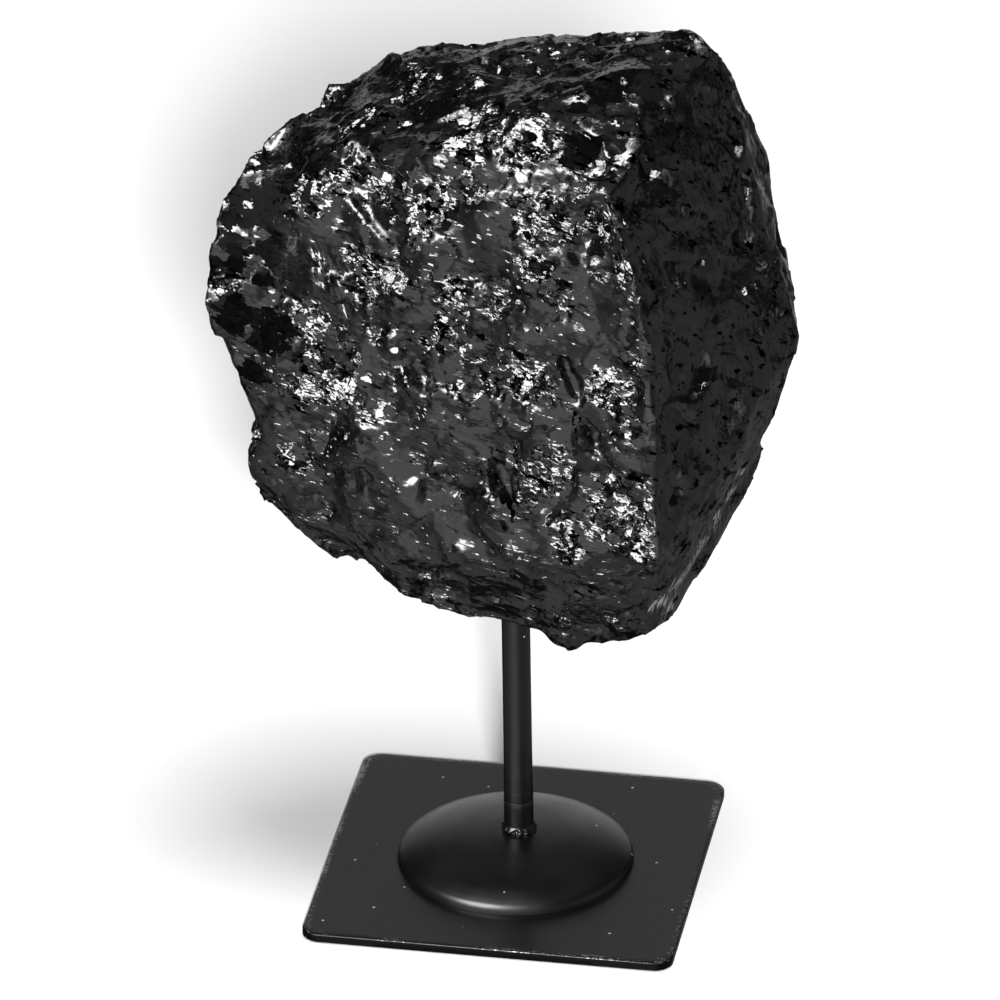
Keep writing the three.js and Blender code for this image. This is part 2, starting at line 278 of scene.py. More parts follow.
def lump_blank():
    """The lump in even faces, a little softened away from its ridge, and drawn onto the ridge's line."""
    bm = bmesh.new()
    bm.from_mesh(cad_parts["tourmaline"].data)
    bmesh.ops.remove_doubles(bm, verts=bm.verts, dist=MERGE)
    mesh = bpy.data.meshes.new("lump_blank")
    bm.to_mesh(mesh)
    bm.free()
    blank = mesh_piece("rough_tourmaline", mesh)
    remesh = blank.modifiers.new("even_faces", "REMESH")
    remesh.mode = "VOXEL"
    remesh.voxel_size = VOXEL
    remesh.adaptivity = 0
    graph = bpy.context.evaluated_depsgraph_get()
    even = bpy.data.meshes.new_from_object(blank.evaluated_get(graph))
    blank.modifiers.clear()
    bm = bmesh.new()
    bm.from_mesh(even)
    bm.verts.ensure_lookup_table()
    away = ridge_distance(np.array([vert.co for vert in bm.verts])) > RIDGE_KEEP
    softened = [vert for vert, soft in zip(bm.verts, away) if soft]
    for _ in range(SOFTENINGS):
        bmesh.ops.smooth_vert(
            bm, verts=softened, factor=0.5, use_axis_x=True, use_axis_y=True, use_axis_z=True
        )
    for vert in bm.verts:
        nearest = closest_on_ridge(vert.co)
        if (nearest - vert.co).length < RIDGE_SNAP:
            vert.co = nearest
    bm.to_mesh(even)
    bm.free()
    blank.data = even
    return blank


def closest_on_ridge(point):
    choices = []
    for a, b in zip(RIDGE, RIDGE[1:]):
        start, run = Vector(a) * MM, (Vector(b) - Vector(a)) * MM
        t = min(1.0, max(0.0, (point - start).dot(run) / run.length_squared))
        choices.append(start + run * t)
    return min(choices, key=lambda choice: (choice - point).length)


def vertex_arrays(mesh):
    places = np.empty(len(mesh.vertices) * 3, np.float32)
    mesh.vertices.foreach_get("co", places)
    normals = np.empty(len(mesh.vertices) * 3, np.float32)
    mesh.vertex_normals.foreach_get("vector", normals)
    return places.reshape(-1, 3).astype(float), normals.reshape(-1, 3).astype(float)


def write_field(mesh, name, values):
    """Keeps one value for each point of the mesh, for the material to read."""
    made = mesh.attributes.new(name, "FLOAT", "POINT")
    made.data.foreach_set("value", values.astype(np.float32))


def nearest_seeds(seeds, points, count):
    tree = kdtree.KDTree(len(seeds))
    for i, seed in enumerate(seeds):
        tree.insert(seed, i)
    tree.balance()
    return np.array([[hit[1] for hit in tree.find_n(point, count)] for point in points])


def grain_at(normals):
    up = np.clip((normals[:, 2] - 0.45) / 0.3, 0, 1)[:, None]
    grain = np.array(SIDE_GRAIN) * (1 - up) + np.array(TOP_GRAIN) * up
    return grain / np.linalg.norm(grain, axis=1)[:, None]


# Patches of the front, each with its middle and radius in mm.
GLITTERING = [
    ((33, -45, 136), 11.5), ((-9, -24, 231), 9.9), ((27, -33, 227), 7.3), ((31, -47, 171), 6.8),
    ((-48, -31, 158), 9.4), ((-30, -24, 215), 8.8), ((-36, -35, 162), 6.5), ((8, -42, 170), 7.8),
    ((-18, -31, 213), 8.3), ((-29, -32, 190), 7.3), ((13, -39, 213), 7.3), ((9, -29, 235), 5.7),
    ((-50, -29, 175), 5.7), ((16, -48, 143), 8.3), ((-10, -37, 191), 5.7), ((21, -48, 124), 6.5),
    ((-14, -37, 178), 5.7), ((-51, -23, 209), 6.8), ((-41, -21, 214), 5.2), ((40, -50, 126), 5.2),
    ((-73, -23, 182), 4.7), ((-41, -8, 224), 4.7), ((19, -44, 195), 5.2), ((-29, -36, 153), 5.2),
    ((-66, -22, 136), 2.8), ((-55, -29, 133), 2.5), ((2, -39, 190), 4.2), ((-31, -1, 229), 3.6),
    ((-54, -29, 133), 4.2), ((40, -49, 134), 8.5), ((40, -49, 146), 4.5), ((20, -48, 132), 4),
    ((36, -46, 207), 4.5), ((38, -49, 180), 3.5), ((30, -44, 216), 5), ((13, -42, 203), 4),
    ((28, -45, 204), 3.5),
]
SMOOTH = [
    ((-25, -23, 224), 7.8), ((-60, -24, 184), 5.7), ((-59, -22, 201), 5.7), ((-13, -40, 131), 6.8),
    ((40, -24, 227), 6.2), ((20, -30, 229), 5.2), ((31, -15, 240), 5.7), ((-21, -37, 116), 6.2),
    ((-39, -26, 207), 4.7), ((-11, -36, 204), 5.7), ((1, -37, 200), 4.7), ((30, -46, 186), 6.5),
    ((9, -44, 159), 5.7), ((3, -44, 117), 6.5), ((26, -42, 206), 5.2), ((-30, -38, 134), 7.8),
]
# Patches whose flats lean away from the light and look black.
DARK = [
    ((-60, -27, 170), 7), ((22, -30, 230), 5.5), ((41, -23, 227), 5), ((24, -13, 243), 7),
    ((-76, -23, 186), 4), ((51, -14, 228), 8), ((35, -12, 242), 6), ((-66, -29, 158), 4),
    ((14, -5, 240), 5), ((-8, -9, 235), 4), ((40, -24, 230), 4), ((67, -17, 188), 3.5),
    ((46, -36, 202), 2.5), ((20, -20, 239), 3), ((-66, -25, 196), 3), ((-70, -24, 177), 3),
    ((55, -35, 171), 3.5), ((41, -28, 222), 3), ((-70, -25, 172), 4.5), ((-71, -22, 187), 4),
    ((-62, -23, 184), 3),
]
# Small flats that face the light squarely and look white.
WHITE_FLATS = [
    ((10, -30, 234), 3), ((27, -32, 228), 2.6), ((28, -33, 226), 2.4), ((-34, -35, 162), 2.2),
    ((-30, -36, 153), 1.8), ((-13, -26, 229), 2.8), ((-11, -15, 230), 3), ((-9, -19, 230), 2.4),
    ((-30, -24, 216), 1.8), ((-42, -22, 214), 1.5), ((-18, -30, 213), 1.2), ((-17, -32, 210), 1.2),
    ((-36, -19, 222), 1.2), ((-28, -32, 191), 1.8), ((-41, -8, 224), 1.8), ((-31, -1, 229), 1.5),
    ((-72, -22, 184), 1.2), ((-51, -28, 177), 1.2), ((-50, -29, 174), 1.2), ((-9, -37, 190), 1.5),
    ((-6, -35, 200), 1.5), ((-26, -36, 172), 1.5), ((-55, -29, 133), 1.5), ((-46, -27, 112), 1.2),
    ((-5, -29, 226), 1.5), ((40, -50, 127), 1.5), ((10, -43, 171), 1.5), ((30, -46, 174), 1.8),
    ((-15, -28, 224), 2.5), ((7, -41, 195), 1.5), ((-44, -32, 154), 1.8), ((-39, -34, 158), 1.5),
    ((63, -20, 189), 1.6), ((53, -25, 199), 1.0), ((9, -48, 120), 1.3),
]
# Slanting, comb-like splinters.
COMBED = [((-47, -27, 193), 4), ((-43, -30, 188), 5), ((-39, -32, 181), 4)]
# Pale fibre streaks on the lower right edge, painted into the colour as a highlight; the same patches get
# hair-like streaks of the surface.
FIBROUS = [
    ((44, -37, 104), 4), ((48, -33, 109), 5), ((50, -29, 112), 5), ((46, -31, 101), 4.5),
    ((53, -26, 116), 4), ((56, -21, 122), 4), ((59, -16, 127), 3.5), ((62, -16, 134), 3),
]
# Patches whose flats face the dim ceiling and look dark grey.
DIM = [
    ((-57, -25, 190), 9), ((-67, -22, 204), 10), ((-71, -24, 192), 6), ((-26, -23, 223), 7),
    ((-60, -21, 212), 5), ((-72, -26, 178), 5), ((-40, -20, 230), 4),
]
# Long open cracks: both ends in mm.
CRACKS = [
    ((-6, -39, 167), (3, -42, 158)), ((3, -42, 158), (7, -44, 146)), ((22, -45, 164), (24, -46, 154)),
    ((23, -46, 164), (27, -45, 156)), ((-3, -42, 142), (1, -42, 140)), ((16, -45, 180), (22, -43, 169)),
    ((4, -41, 180), (6, -41, 172)), ((-37, -36, 148), (-34, -37, 144)), ((52, -37, 169), (58, -34, 170)),
    ((27, -44, 155), (36, -49, 153)),
]
# The crisp ridge between the broad face and the dark right face, from the top down, in mm.
RIDGE = [
    (32.3, -42.9, 221), (35, -45.1, 213.7), (38, -47.3, 206.5), (40, -48.5, 198.6), (42.9, -50, 182.3),
    (44.9, -50, 124.5), (44.2, -47.5, 119.6),
]


def noise_field(points, size, seed):
    """Soft noise from about -1 to 1 at each point."""
    shift = Vector((seed * 7.3, seed * 3.1, seed * 5.7))
    return np.array([noise.fractal(Vector(p) / size + shift, 0.6, 2.0, 3) for p in points]) * 1.6


def patch_field(points, patches):
    """1 at the middle of each patch, fading to 0 a little beyond its radius."""
    field = np.zeros(len(points))
    for middle, radius in patches:
        apart = np.linalg.norm(points - np.array(middle) * MM, axis=1) / (radius * MM)
        field = np.maximum(field, np.exp(-0.9 * apart ** 2))
    return field


def distance_to_lines(points, lines):
    far = np.full(len(points), 1.0)
    for a, b in lines:
        start, run = np.array(a) * MM, (np.array(b) - np.array(a)) * MM
        t = np.clip((points - start) @ run / (run @ run), 0, 1)
        far = np.minimum(far, np.linalg.norm(points - start - t[:, None] * run, axis=1))
    return far


def ridge_distance(points):
    return distance_to_lines(points, zip(RIDGE, RIDGE[1:]))


def beyond_ridge(points):
    """How far each point lies on the right face's side of the ridge."""
    corners = np.array(RIDGE[::-1]) * MM
    ridge_x = np.interp(points[:, 2], corners[:, 2], corners[:, 0])
    ridge_y = np.interp(points[:, 2], corners[:, 2], corners[:, 1])
    return (points[:, 0] - ridge_x) * 0.92 + (points[:, 1] - ridge_y) * 0.38


def facet_levels(points, normals, spacing, depth, lean, stretch, flatness, count):
    """Depth below the surface of a broken skin of nearly flat, leaning facets with small steps between."""
    facets = int(len(points) * VOXEL * VOXEL / (spacing * spacing))
    chosen = random_draws.choice(len(points), facets, replace=False)
    seeds = points[chosen]
    grain = grain_at(normals[chosen])
    deep = depth * random_draws.uniform(0.0, 1.0, facets)
    tilt = random_draws.normal(0, 1, (facets, 3)) * lean
    bowl = (lean * 0.5 + depth / spacing * 0.6) / spacing
    near = nearest_seeds(seeds, points, count)
    best = np.full(len(points), -1.0)
    level = np.zeros(len(points))
    for k in range(count):
        seed = near[:, k]
        apart = points - seeds[seed]
        along = np.sum(apart * grain[seed], axis=1)
        across = np.sum(apart * apart, axis=1) - along * along * (1 - 1 / stretch ** 2)
        sunk = bowl * across
        here = deep[seed] + np.sum(apart * tilt[seed], axis=1) - sunk
        wins = here > best
        best[wins] = here[wins]
        level[wins] = (here + sunk * flatness)[wins]
    return level


def make_lump():
    lump = lump_blank()
    mesh = lump.data
    points, normals = vertex_arrays(mesh)
    from_socket = np.hypot(points[:, 0], points[:, 1])
    free = np.clip((from_socket - SOCKET_EDGE) / SOCKET_FADE, 0, 1)
    free[points[:, 2] > SOCKET_TOP] = 1
    ridge = np.clip(ridge_distance(points) / RIDGE_FADE, 0.08, 1)
    right = np.clip(beyond_ridge(points) / (1.0 * MM) + 0.5, 0, 1) * np.clip(0.7 - normals[:, 1], 0, 1)
    right *= np.clip((0.75 - normals[:, 2]) / 0.2, 0, 1)
    top = np.clip((normals[:, 2] - 0.5) / 0.3, 0, 1)
    front = np.clip(-normals[:, 1] / 0.25, 0, 1)
    facing_light = np.clip((normals @ np.array(FACING_KEY) - 0.25) / 0.3, 0, 1)

    # Where the skin is broken, and where it is smooth.
    glitter = patch_field(points, GLITTERING) * facing_light
    combed = patch_field(points, COMBED)
    dark = patch_field(points, DARK) * front
    dim = patch_field(points, DIM) * front
    broken = 0.16 + 0.36 * noise_field(points, ROUGH_PATCHES, 1) + 0.1 * top
    broken += 0.9 * glitter - 0.6 * patch_field(points, SMOOTH) - 0.35 * right - 0.5 * dark - 0.4 * dim
    broken = np.clip(broken - 0.7 * combed, 0, 1)

    # The broken skin, with the cracks cut in, kept inside the lump's own box.
    crack = distance_to_lines(points, CRACKS)
    coarse = facet_levels(points, normals, *COARSE_FACETS)
    middle = facet_levels(points, normals, *MIDDLE_FACETS)
    fine = facet_levels(points, normals, *FINE_FACETS)
    depth = coarse * (1 - 0.4 * right) * ridge
    depth += middle * (0.12 + 0.88 * broken) * ridge + fine * (0.05 + 0.9 * broken) * np.sqrt(ridge)
    depth -= np.mean(depth) * 0.9
    depth += GROOVE_DEPTH * np.exp(-((crack / GROOVE_HALF_WIDTH) ** 2))
    moved = points - normals * (depth * free)[:, None]
    low, high = (np.array(corner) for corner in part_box("tourmaline"))
    moved = np.clip(moved, low + BOX_GAP, high - BOX_GAP)
    mesh.vertices.foreach_set("co", moved.astype(np.float32).ravel())

    # What the material reads at each point.
    # Patches of pale fibre streaks painted in as a highlight; they also carry hair-like streaks of the
    # surface.
    fibre_highlight_patches = patch_field(points, FIBROUS)
    edge_band = np.clip((beyond_ridge(points) - 26 * MM) / (12 * MM), 0, 0.7)
    write_field(mesh, "broken", broken)
    write_field(mesh, "glitter", glitter)
    write_field(mesh, "calm", np.maximum(right, 0.7 * top))
    write_field(mesh, "dark", np.maximum(dark, np.maximum(0.24 * right, 0.2 * glitter)))
    write_field(mesh, "dim", dim)
    write_field(mesh, "crack", np.clip(1 - crack / CRACK_REACH, 0, 1))
    write_field(mesh, "combed", combed)
    write_field(mesh, "white", patch_field(points, WHITE_FLATS) * facing_light)
    write_field(mesh, "fibre_highlight_patches", fibre_highlight_patches)
    write_field(mesh, "fibrous", np.maximum(fibre_highlight_patches, edge_band) * front)
    mesh.update()
    for polygon in mesh.polygons:
        polygon.use_smooth = True
    mesh.set_sharp_from_angle(angle=STONE_CREASE)
    sharpen_ridge(mesh)
    return lump


def sharpen_ridge(mesh):
    """Marks the edges along the ridge as sharp, so that the two faces meet in a crisp line."""
    bm = bmesh.new()
    bm.from_mesh(mesh)
    bm.verts.ensure_lookup_table()
    far = ridge_distance(np.array([vert.co for vert in bm.verts]))
    for edge in bm.edges:
        if max(far[edge.verts[0].index], far[edge.verts[1].index]) < RIDGE_CRISP:
            edge.smooth = False
    bm.to_mesh(mesh)
    bm.free()


# ---- Nodes ----
def fill(tree, node, sockets):
    """Gives a node its inputs by name or number: each is a value, or another node's output."""
    for key, value in sockets.items():
        if isinstance(value, bpy.types.NodeSocket):
            tree.links.new(value, node.inputs[key])
        else:
            node.inputs[key].default_value = value
    return node


def place(tree, kind, sockets, **settings):
    made = tree.nodes.new("ShaderNode" + kind)
    for name, value in settings.items():
        setattr(made, name, value)
    return fill(tree, made, sockets)


def use_group(tree, group, sockets):
    made = tree.nodes.new("ShaderNodeGroup")
    made.node_tree = group
    return fill(tree, made, sockets)


def numbers(tree, operation, first, second, third=0.5):
    return place(tree, "Math", {0: first, 1: second, 2: third}, operation=operation).outputs[0]


def vectors(tree, operation, first, second):
    return place(tree, "VectorMath", {0: first, 1: second}, operation=operation).outputs[0]


def scaled(tree, vector, amount):
    return place(tree, "VectorMath", {0: vector, "Scale": amount}, operation="SCALE").outputs[0]


def centred(tree, colour):
    """A colour read as a direction that swings about zero."""
    return vectors(tree, "SUBTRACT", colour, (0.5, 0.5, 0.5))


def ramp(tree, value, low, high, to_low=0.0, to_high=1.0, kind="LINEAR"):
    sockets = {"Value": value, "From Min": low, "From Max": high, "To Min": to_low, "To Max": to_high}
    return place(tree, "MapRange", sockets, interpolation_type=kind).outputs[0]


def clouds(tree, where, scale, detail, roughness):
    sockets = {"Vector": where, "Scale": scale, "Detail": detail, "Roughness": roughness}
    return place(tree, "TexNoise", sockets)


def stretched(tree, where, turn, stretch):
    """A place whose patterns come out turned and drawn out along one way."""
    sockets = {"Vector": where, "Rotation": turn, "Scale": stretch}
    return place(tree, "Mapping", sockets, vector_type="TEXTURE").outputs[0]


def read_field(tree, name):
    return place(tree, "Attribute", {}, attribute_name=name).outputs["Fac"]


def mixed_colour(tree, share, first, second):
    sockets = {"Factor": share, 6: first, 7: second}
    return place(tree, "Mix", sockets, data_type="RGBA").outputs[2]


def new_group(name, inputs, output, output_kind):
    group = bpy.data.node_groups.new(name, "ShaderNodeTree")
    group.interface.new_socket("Place", in_out="INPUT", socket_type="NodeSocketVector")
    for label, value in inputs.items():
        socket = group.interface.new_socket(label, in_out="INPUT", socket_type="NodeSocketFloat")
        socket.default_value = value
    group.interface.new_socket(output, in_out="OUTPUT", socket_type=output_kind)
    return group, group.nodes.new("NodeGroupInput").outputs, group.nodes.new("NodeGroupOutput").inputs


def new_material(name):
    material = bpy.data.materials.new(name)
    material.use_nodes = True
    tree = material.node_tree
    where = place(tree, "TexCoord", {}).outputs["Object"]
    return material, tree, tree.nodes["Principled BSDF"], where


# ---- Finishes that the materials share ----
def chip_group():
    """Small broken facets: a lean of the surface that is constant over each chip, and a bowl in it."""
    values = {"Chips per Metre": 500.0, "Raggedness": 0.4, "Lean": 0.5, "Bowl": 0.5}
    group, start, end = new_group("broken_chips", values, "Lean", "NodeSocketVector")
    sized = scaled(group, start["Place"], start["Chips per Metre"])
    ragged = centred(group, clouds(group, sized, 0.9, 2.0, 0.6).outputs["Color"])
    moved = vectors(group, "ADD", sized, scaled(group, ragged, start["Raggedness"]))
    cells = place(
        group,
        "TexVoronoi",
        {"Vector": moved, "Scale": 1.0, "Randomness": 1.0},
        voronoi_dimensions="3D",
        feature="F1",
    )
    lean = scaled(group, centred(group, cells.outputs["Color"]), start["Lean"])
    away = vectors(group, "SUBTRACT", moved, cells.outputs["Position"])
    bowl = scaled(group, away, start["Bowl"])
    group.links.new(vectors(group, "SUBTRACT", lean, bowl), end["Lean"])
    return group


def speck_group():
    """Fine pale specks of dust and chipped points."""
    values = {"Specks per Metre": 400.0, "Share": 0.05, "Radius": 0.12}
    group, start, end = new_group("fine_specks", values, "Speck", "NodeSocketFloat")
    cells = place(
        group,
        "TexVoronoi",
        {"Vector": start["Place"], "Scale": start["Specks per Metre"], "Randomness": 1.0},
        voronoi_dimensions="3D",
        feature="F1",
    )
    chance = place(group, "SeparateColor", {"Color": cells.outputs["Color"]}).outputs["Green"]
    picked = numbers(group, "LESS_THAN", chance, start["Share"])
    near = numbers(group, "LESS_THAN", cells.outputs["Distance"], start["Radius"])
    group.links.new(numbers(group, "MULTIPLY", picked, near), end["Speck"])
    return group


def ripple_group():
    """Wrinkles of a broken glassy surface: a lean of the surface that swings from side to side."""
    values = {"Ripples per Metre": 350.0, "Swirl": 0.6, "Fineness": 3.0, "Lean": 1.0}
    group, start, end = new_group("glassy_ripples", values, "Lean", "NodeSocketVector")
    wrinkles = place(
        group,
        "TexNoise",
        {
            "Vector": start["Place"],
            "Scale": start["Ripples per Metre"],
            "Detail": start["Fineness"],
            "Roughness": 0.55,
            "Distortion": start["Swirl"],
        },
    )
    swing = centred(group, wrinkles.outputs["Color"])
    weighed = vectors(group, "MULTIPLY", swing, (0.7, 0.9, 1.25))
    group.links.new(scaled(group, weighed, start["Lean"]), end["Lean"])
    return group


def crevice_shade_group():
    """Painted shade: black in ragged cracks between splinters and in small pits, where the light would not
    reach.
    """
    values = {"Cracks per Metre": 200.0, "Width": 0.04, "Pit Share": 0.35}
    group, start, end = new_group("crevice_painted_shade", values, "Painted Shade", "NodeSocketFloat")
    sized = scaled(group, start["Place"], start["Cracks per Metre"])
    ragged = clouds(group, sized, 1.2, 3.0, 0.6).outputs["Color"]
    cells = place(
        group,
        "TexVoronoi",
        {"Vector": vectors(group, "ADD", sized, ragged), "Scale": 1.0},
        voronoi_dimensions="3D",
        feature="DISTANCE_TO_EDGE",
    )
    where_cracked = clouds(group, sized, 0.45, 1.0, 0.5).outputs["Fac"]
    width = numbers(group, "MULTIPLY", start["Width"], ramp(group, where_cracked, 0.45, 0.62))
    crack = numbers(group, "LESS_THAN", cells.outputs["Distance"], width)
    lumps = clouds(group, sized, 1.6, 4.0, 0.6).outputs["Fac"]
    pit = numbers(group, "LESS_THAN", lumps, start["Pit Share"])
    group.links.new(numbers(group, "MAXIMUM", crack, pit), end["Painted Shade"])
    return group


# ---- Black tourmaline ----
STONE_IOR = 1.64
DEEP_BLACK = (0.0005, 0.0005, 0.0005, 1)
DARK_BLACK = (0.002, 0.002, 0.002, 1)
# Grey of the pale fibre streaks: a painted highlight.
FIBRE_HIGHLIGHT_GREY = (0.16, 0.16, 0.16, 1)
BROKEN_FROM, BROKEN_FULL = 0.38, 0.50
SMOOTH_ROUGHNESS, BROKEN_ROUGHNESS = 0.18, 0.10
GLITTER_LIFT = 0.68  # how far flats in the glittering patches turn to the key light
LIFT_EVERYWHERE = 0.2
HAIRS_IN_FIBRES = 4.0
CALM_LOSS = -0.5
WHITE_FROM, WHITE_FULL = 0.33, 0.335
DASH_FROM, DASH_FULL, DASH_LEAN = 0.60, 0.68, 0.8
PATCH_RAGGEDNESS = 2.6
PATCH_FROM, PATCH_FULL = 1.73, 1.745
OPEN_CRACK_FROM = 1.27


def leaning_patch(tree, facing, surface, noise_value, patch_value):
    """The lean that turns a patch with a crisp, ragged outline to face one way."""
    both = numbers(tree, "MULTIPLY_ADD", noise_value, PATCH_RAGGEDNESS, patch_value)
    crisp = ramp(tree, both, PATCH_FROM, PATCH_FULL)
    return scaled(tree, vectors(tree, "SUBTRACT", facing, surface), crisp)


def stone_material(chips, ripples, crevice_shade):
    material, tree, shader, where = new_material("black_tourmaline")
    surface = place(tree, "NewGeometry", {}).outputs["Normal"]
    calm = read_field(tree, "calm")
    broken = read_field(tree, "broken")

    # The grain, and how the finer patterns follow it.
    grainwise = stretched(tree, where, (0.0, 0.35, 0.0), (2.6, 1.0, 1.0))
    streakwise = stretched(tree, where, (0.0, 0.18, 0.0), (5.0, 1.0, 1.0))
    upright = stretched(tree, where, (0.1, 0.0, 0.0), (1.0, 1.0, 6.0))
    slanting = stretched(tree, where, (0.0, 1.08, 0.0), (8.0, 1.0, 1.0))
    hairwise = stretched(tree, where, (0.1, 0.5, 0.0), (1.0, 1.0, 12.0))
    along = place(
        tree, "Mix", {"Factor": calm, 4: streakwise, 5: upright}, data_type="VECTOR"
    ).outputs[1]

    # Where the skin is broken into chips, with ragged edges.
    ragged = clouds(tree, grainwise, 220.0, 4.0, 0.65).outputs["Fac"]
    swing = numbers(tree, "MULTIPLY_ADD", ragged, 1.8, -0.9)
    mask = ramp(
        tree, numbers(tree, "ADD", swing, broken), BROKEN_FROM, BROKEN_FULL, kind="SMOOTHSTEP"
    )

    # Small white flats.
    splintery = clouds(tree, where, 480.0, 3.0, 0.6).outputs["Fac"]
    torn = numbers(tree, "MULTIPLY", splintery, read_field(tree, "white"))
    white = ramp(tree, torn, WHITE_FROM, WHITE_FULL)
    not_white = numbers(tree, "SUBTRACT", 1.0, white)

    # Leans of the broken skin.
    chip_lean = use_group(
        tree,
        chips,
        {"Place": where, "Chips per Metre": 330.0, "Raggedness": 1.6, "Lean": 0.72, "Bowl": 0.15},
    ).outputs["Lean"]
    wrinkle_lean = use_group(
        tree,
        ripples,
        {"Place": grainwise, "Ripples per Metre": 620.0, "Swirl": 1.8, "Fineness": 3.0, "Lean": 1.75},
    ).outputs["Lean"]
    to_light = vectors(tree, "SUBTRACT", FACING_KEY, surface)
    lifting = numbers(tree, "MULTIPLY_ADD", read_field(tree, "glitter"), GLITTER_LIFT, LIFT_EVERYWHERE)
    chip_and_wrinkle = vectors(tree, "ADD", chip_lean, wrinkle_lean)
    leans = vectors(tree, "ADD", chip_and_wrinkle, scaled(tree, to_light, lifting))
    liveliness = numbers(tree, "MULTIPLY_ADD", calm, CALM_LOSS, 1.0)
    chipped = numbers(tree, "MULTIPLY", mask, liveliness)
    strength = numbers(tree, "MULTIPLY", chipped, not_white)
    broken_lean = scaled(tree, leans, strength)

    # Leans of the skin everywhere: large plates, hairs along the grain, and combed splinters.
    plate_lean = use_group(
        tree,
        chips,
        {"Place": where, "Chips per Metre": 150.0, "Raggedness": 1.6, "Lean": 0.3, "Bowl": 0.04},
    ).outputs["Lean"]
    streak_lean = use_group(
        tree,
        ripples,
        {"Place": along, "Ripples per Metre": 900.0, "Swirl": 0.6, "Fineness": 2.0, "Lean": 0.38},
    ).outputs["Lean"]
    splinter_lean = use_group(
        tree,
        ripples,
        {"Place": slanting, "Ripples per Metre": 620.0, "Swirl": 0.3, "Fineness": 3.0, "Lean": 3.6},
    ).outputs["Lean"]
    calm_hairs = numbers(tree, "MULTIPLY_ADD", calm, 1.0, 1.0)
    hair_strength = numbers(
        tree, "MULTIPLY_ADD", read_field(tree, "fibrous"), HAIRS_IN_FIBRES, calm_hairs
    )
    skin_lean = vectors(tree, "ADD", plate_lean, scaled(tree, streak_lean, hair_strength))
    combed = scaled(tree, splinter_lean, read_field(tree, "combed"))
    skin_lean = vectors(tree, "ADD", skin_lean, combed)

    # Patches that face the ceiling or the dark, and short dashes and flats that face the light.
    dashes = clouds(tree, along, 900.0, 3.0, 0.65).outputs["Fac"]
    dash = ramp(tree, dashes, DASH_FROM, DASH_FULL, to_high=DASH_LEAN)
    flash = numbers(tree, "MAXIMUM", numbers(tree, "MULTIPLY", dash, liveliness), white)
    for lean in (
        leaning_patch(tree, FACING_CEILING, surface, ragged, read_field(tree, "dim")),
        scaled(tree, to_light, flash),
        leaning_patch(tree, FACING_DARK, surface, ragged, read_field(tree, "dark")),
    ):
        skin_lean = vectors(tree, "ADD", skin_lean, lean)
    leaned = vectors(tree, "ADD", surface, vectors(tree, "ADD", broken_lean, skin_lean))
    normal = place(tree, "VectorMath", {0: leaned}, operation="NORMALIZE").outputs[0]

    # Painted shade: black crevices and the long open cracks.
    crevice_shade_marks = use_group(
        tree,
        crevice_shade,
        {
            "Place": grainwise,
            "Cracks per Metre": 230.0,
            "Width": ramp(tree, calm, 0.0, 1.0, 0.028, 0.014),
            "Pit Share": ramp(tree, calm, 0.0, 1.0, 0.385, 0.38),
        },
    ).outputs["Painted Shade"]
    rough_or_calm = numbers(tree, "MAXIMUM", broken, calm)
    painted_crevice_shade = numbers(tree, "MULTIPLY", crevice_shade_marks, ramp(tree, rough_or_calm, 0.0, 0.5, to_low=0.5))
    frayed = numbers(tree, "MULTIPLY_ADD", ragged, 0.9, read_field(tree, "crack"))
    # The long open cracks turn black as well: painted shade.
    painted_crack_shade = numbers(tree, "GREATER_THAN", frayed, OPEN_CRACK_FROM)
    painted_crevice_shade = numbers(tree, "MAXIMUM", painted_crevice_shade, painted_crack_shade)
    painted_crevice_shade = numbers(tree, "MULTIPLY", painted_crevice_shade, not_white)

    # The black itself, and pale fibre streaks over it as a painted highlight.
    tone = clouds(tree, where, 60.0, 4.0, 0.6).outputs["Fac"]
    black = mixed_colour(tree, tone, DEEP_BLACK, DARK_BLACK)
    fibre_highlight_streaks = clouds(tree, hairwise, 1200.0, 3.0, 0.65).outputs["Fac"]
    fibre_highlight_cover = numbers(tree, "MULTIPLY_ADD", read_field(tree, "fibre_highlight_patches"), 0.4, fibre_highlight_streaks)
    colour = mixed_colour(tree, ramp(tree, fibre_highlight_cover, 0.74, 0.90), black, FIBRE_HIGHLIGHT_GREY)

    sockets = {
        "Base Color": colour,
        # Metallic over the near-black base takes the reflection out of cracks and pits: painted shade.
        "Metallic": painted_crevice_shade,
        "Roughness": ramp(tree, mask, 0.0, 1.0, SMOOTH_ROUGHNESS, BROKEN_ROUGHNESS),
        "IOR": STONE_IOR,
        "Normal": normal,
    }
    fill(tree, shader, sockets)
    return material


# ---- Satin black paint ----
PAINT_IOR = 1.5
PAINT_BLACK = (0.003, 0.003, 0.0032, 1)
BARE_STEEL = (0.35, 0.35, 0.35, 1)
# How far Metallic turns the plate's side black: painted shade.
SIDE_PAINTED_SHADE = 0.8


